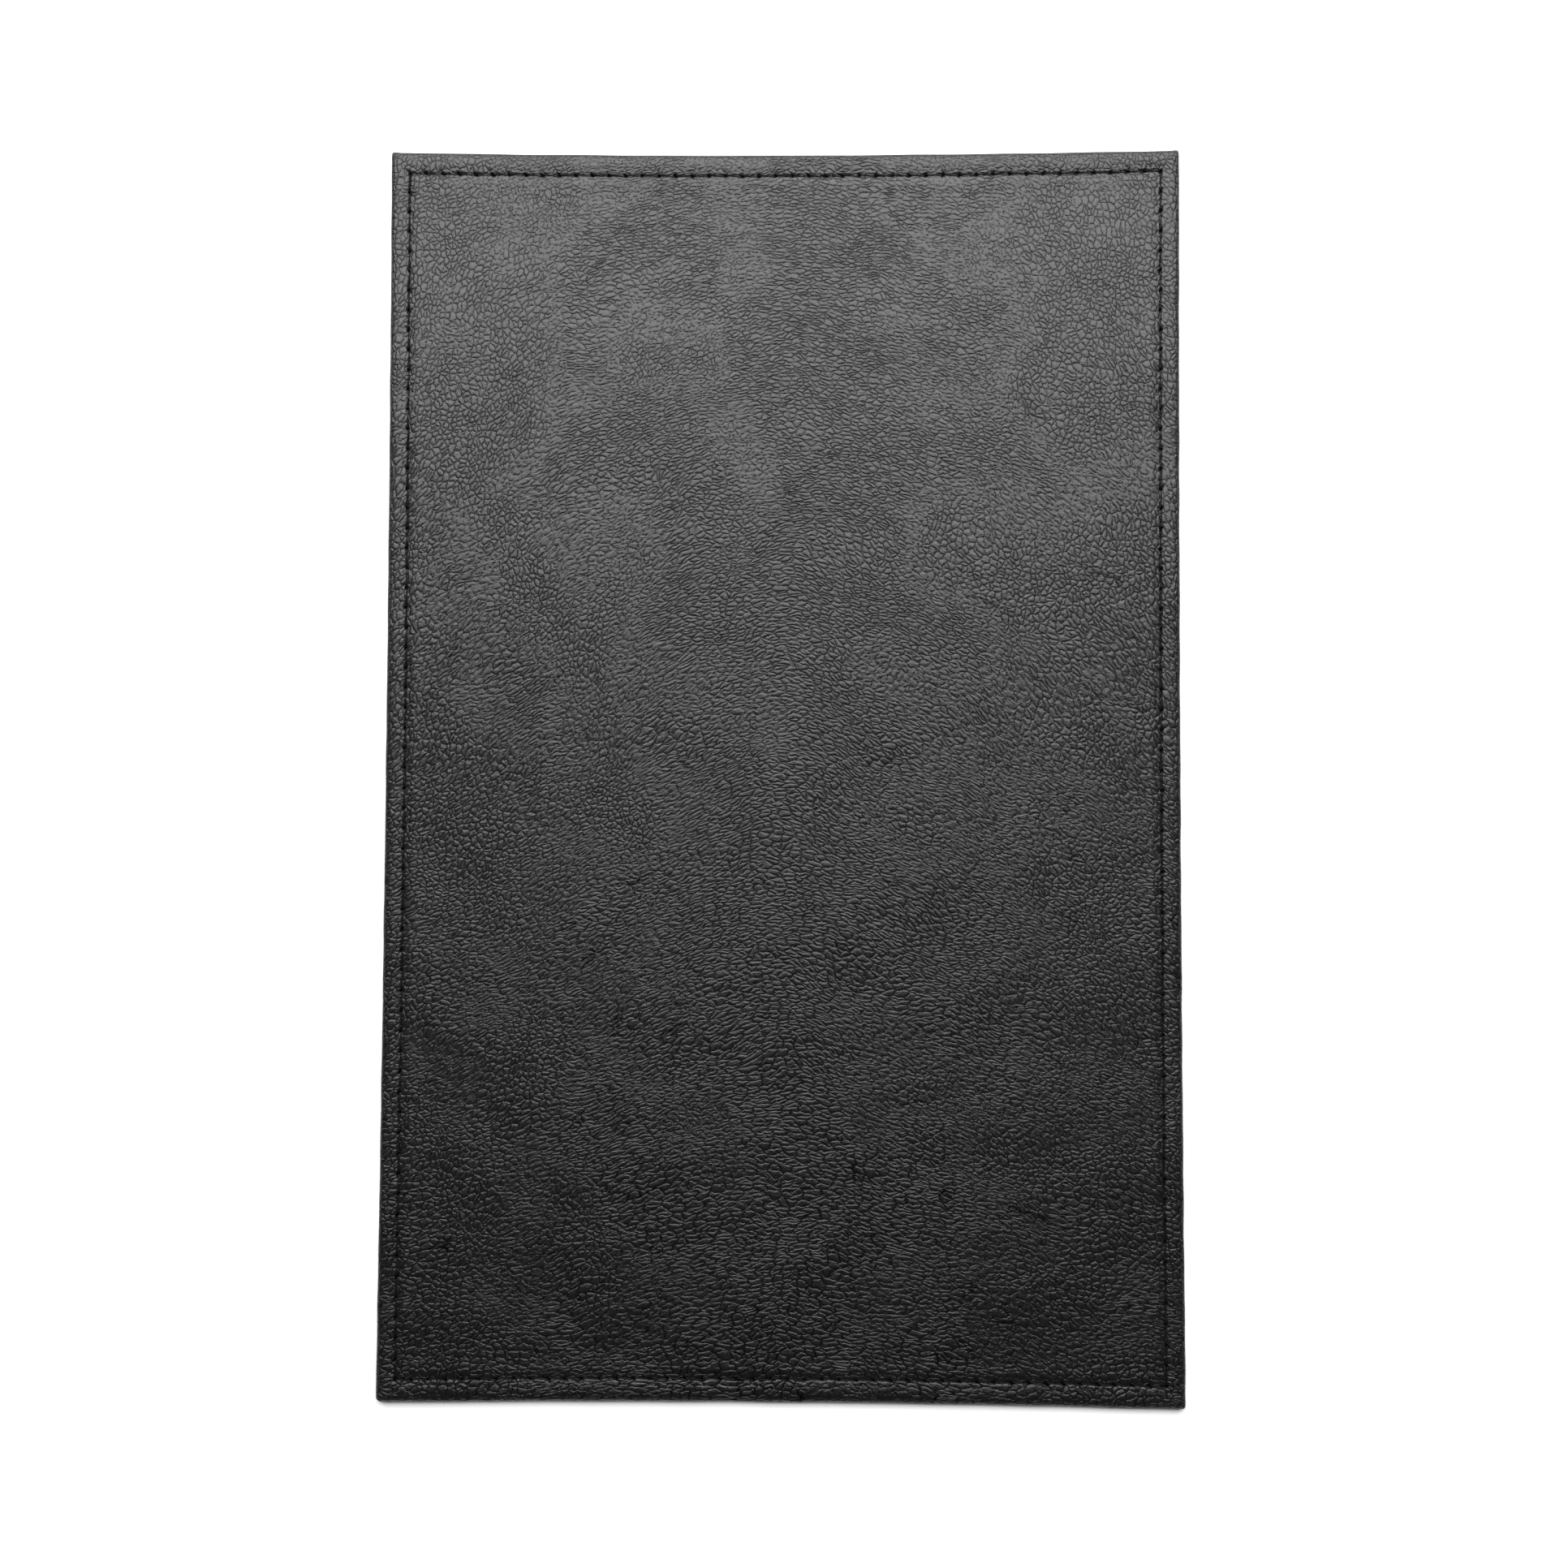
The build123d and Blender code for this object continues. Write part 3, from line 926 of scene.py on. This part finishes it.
def floor_finish(colour):
    """Matt pale floor with a very faint tooth, greyer towards its rim."""
    shader = Shader("studio_floor")
    place = shader.object_place()
    tooth = shader.grit(place, 40, 4.0)
    low = opaque(colour, 0.985)
    radius = shader.node("ShaderNodeVectorMath", {"operation": "LENGTH"}, {0: place}, "Value")
    pale = shader.blend(tooth, low, opaque(colour))
    rim, fade_start, fade_end = opaque(colour, 0.4), 0.7, 2.3
    return shader.surface(
        {"Specular IOR Level": 0.1},
        Base_Color=shader.blend(radius.rise(fade_start, fade_end), pale, rim),
        Roughness=0.85 + tooth * 0.1)


# ---------------------------------------------------------------- operators

def settle(thing, node, material):
    """Gives a finished piece its material and body, and hides the CAD part it replaces."""
    thing.data.materials.append(material)
    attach(thing, "root")
    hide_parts(node)


class DESKMAT_OT_cover(Operator):
    """Build the leather cover with its seam valley, rolled edge and hem"""

    bl_idname = "desk_mat.cover"
    bl_label = "Leather Cover"

    def execute(self, context):
        sizes = context.scene.desk_mat_sizes
        plan = Plan(sizes)
        cover = cover_skin(plan)
        settle(cover, "top_cover", leather_finish(context.scene.desk_mat_look))
        return {"FINISHED"}


class DESKMAT_OT_padding(Operator):
    """Build the foam sheet under the leather"""

    bl_idname = "desk_mat.padding"
    bl_label = "Padding"

    def execute(self, context):
        padding = padding_skin(Plan(context.scene.desk_mat_sizes))
        settle(padding, "padding_foam", foam_finish(context.scene.desk_mat_look))
        return {"FINISHED"}


class DESKMAT_OT_backing(Operator):
    """Build the suede-like backing with its seam channel"""

    bl_idname = "desk_mat.backing"
    bl_label = "Backing"

    def execute(self, context):
        backing = backing_skin(Plan(context.scene.desk_mat_sizes))
        settle(backing, "backing_sheet", suede_finish(context.scene.desk_mat_look))
        return {"FINISHED"}


class DESKMAT_OT_threads(Operator):
    """Sew the needle thread and the bobbin thread round the mat"""

    bl_idname = "desk_mat.threads"
    bl_label = "Threads"

    def execute(self, context):
        sizes = context.scene.desk_mat_sizes
        plan = Plan(sizes)
        finish = thread_finish(context.scene.desk_mat_look)
        width = sizes.thread / MM
        needle_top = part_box("needle_thread")[1].z / MM
        bobbin_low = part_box("bobbin_thread")[0].z / MM
        lock = (needle_top + bobbin_low) / 2
        lift, twist, bobbin_share = 0.06, math.radians(45), 0.8
        path = thread_path(plan, needle_top - width / 2 + lift, lock, 1, twist)
        settle(plied_tube("needle_seam", path, width), "needle_thread", finish)
        path = thread_path(plan, bobbin_low + width / 2, lock, -1, -twist)
        thinner = plied_tube("bobbin_seam", path, width * bobbin_share)
        settle(thinner, "bobbin_thread", finish)
        return {"FINISHED"}


class DESKMAT_OT_core(Operator):
    """Give the stiffening board and the hem tapes their finishes"""

    bl_idname = "desk_mat.core"
    bl_label = "Board and Tapes"

    def execute(self, context):
        look = context.scene.desk_mat_look
        board = pulp_finish("board_pulp", look.board_colour, 0.7 * MM, 0.05 * MM)
        tape = pulp_finish("tape_paper", look.tape_colour, 0.3 * MM, 0.02 * MM)
        for node, material in (("stiffener_board", board), ("hem_tape_front", tape),
                               ("hem_tape_back", tape), ("hem_tape_left", tape),
                               ("hem_tape_right", tape)):
            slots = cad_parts[node].material_slots
            if not slots:
                raise RuntimeError(f"{node} has no material slot")
            for slot in slots:
                slot.material = material
        return {"FINISHED"}


class DESKMAT_OT_stage(Operator):
    """Set up the pale floor, the camera and the lights"""

    bl_idname = "desk_mat.stage"
    bl_label = "Stage"

    def execute(self, context):
        stage = context.scene.desk_mat_stage
        self.lay_floor(stage)
        self.stand_camera(context, stage)
        self.hang_lights(stage)
        self.set_room(context, stage)
        return {"FINISHED"}

    def lay_floor(self, stage):
        """A round floor whose rim turns up into a low backdrop."""
        # Radius and height of each ring, in metres
        profile = ((0.6, 0), (1.7, 0), (2.05, 0.05), (2.3, 0.2), (2.45, 0.5), (2.5, 1.0),
                   (2.52, 1.8))
        around = np.linspace(0, 2 * math.pi, 96, endpoint=False)
        points = [(0, 0, 0)]
        for radius, height in profile:
            points += [(radius * math.cos(a), radius * math.sin(a), height) for a in around]
        count = len(around)
        faces = [(0, 1 + i, 1 + (i + 1) % count) for i in range(count)]
        for ring in range(len(profile) - 1):
            inner, outer = 1 + ring * count, 1 + (ring + 1) * count
            for i in range(count):
                after = (i + 1) % count
                faces.append((inner + i, outer + i, outer + after, inner + after))
        mesh = new_mesh("studio_floor", points, faces)
        mesh.materials.append(floor_finish(stage.floor_colour))
        floor = new_object("studio_floor", mesh)
        clearance = 0.05 * MM
        floor.location.z = CAD_BOX[0].z - clearance

    def stand_camera(self, context, stage):
        """The camera, almost straight above the mat."""
        data = bpy.data.cameras.new("camera")
        data.lens = stage.lens
        data.sensor_width = 36.0
        data.clip_start, data.clip_end = 0.01, 20.0
        data.dof.use_dof = False
        camera = new_object("camera", data)
        camera.location = stage.camera_place
        camera.rotation_euler = Euler(stage.camera_turn)
        context.scene.camera = camera

    def hang_lights(self, stage):
        """A large softbox beyond the far edge, and a weak fill overhead."""
        self.hang("softbox", stage.key_power, (2.2, 1.4), (0.0, 0.92, 1.18))
        self.hang("overhead", stage.fill_power, (1.2, 1.2), (0.0, -0.3, 1.6))

    def hang(self, name, power, size, place):
        """An area light that faces the middle of the mat."""
        data = bpy.data.lights.new(name, "AREA")
        data.shape = "RECTANGLE"
        data.size, data.size_y = size
        data.energy = power
        light = new_object(name, data)
        light.location = place
        light.rotation_euler = (-Vector(place)).to_track_quat("-Z", "Y").to_euler()

    def set_room(self, context, stage):
        """A dim even room, and plain display of colours."""
        world = bpy.data.worlds.new("room")
        world.use_nodes = True
        back = world.node_tree.nodes["Background"]
        level = stage.world_level
        back.inputs["Color"].default_value = (level, level, level, 1.0)
        back.inputs["Strength"].default_value = 1.0
        context.scene.world = world
        context.scene.view_settings.view_transform = "Standard"


class DESKMAT_PT_panel(Panel):
    """The mat's settings and its steps, in order."""

    bl_idname = "DESKMAT_PT_panel"
    bl_label = "Desk Mat"
    bl_space_type = "VIEW_3D"
    bl_region_type = "UI"
    bl_category = "Desk Mat"

    def draw(self, context):
        for name, group in SETTINGS.items():
            box = self.layout.box()
            for setting in group.__annotations__:
                box.prop(getattr(context.scene, name), setting)
        for step in STEPS:
            self.layout.operator(step.bl_idname)


STEPS = (DESKMAT_OT_stage, DESKMAT_OT_core, DESKMAT_OT_backing, DESKMAT_OT_padding,
         DESKMAT_OT_cover, DESKMAT_OT_threads)
SETTINGS = {"desk_mat_sizes": DeskMatSizes, "desk_mat_look": DeskMatLook,
            "desk_mat_stage": DeskMatStage}
CLASSES = (*SETTINGS.values(), *STEPS, DESKMAT_PT_panel)


def register():
    """Adds the settings, the operators and the panel."""
    for item in CLASSES:
        bpy.utils.register_class(item)
    for name, group in SETTINGS.items():
        setattr(bpy.types.Scene, name, PointerProperty(type=group))


def unregister():
    """Removes them again."""
    for name in SETTINGS:
        delattr(bpy.types.Scene, name)
    for item in reversed(CLASSES):
        bpy.utils.unregister_class(item)


def main():
    """Builds everything in order."""
    register()
    bpy.ops.desk_mat.stage()
    bpy.ops.desk_mat.core()
    bpy.ops.desk_mat.backing()
    bpy.ops.desk_mat.padding()
    bpy.ops.desk_mat.cover()
    bpy.ops.desk_mat.threads()


if __name__ == "__main__":
    main()
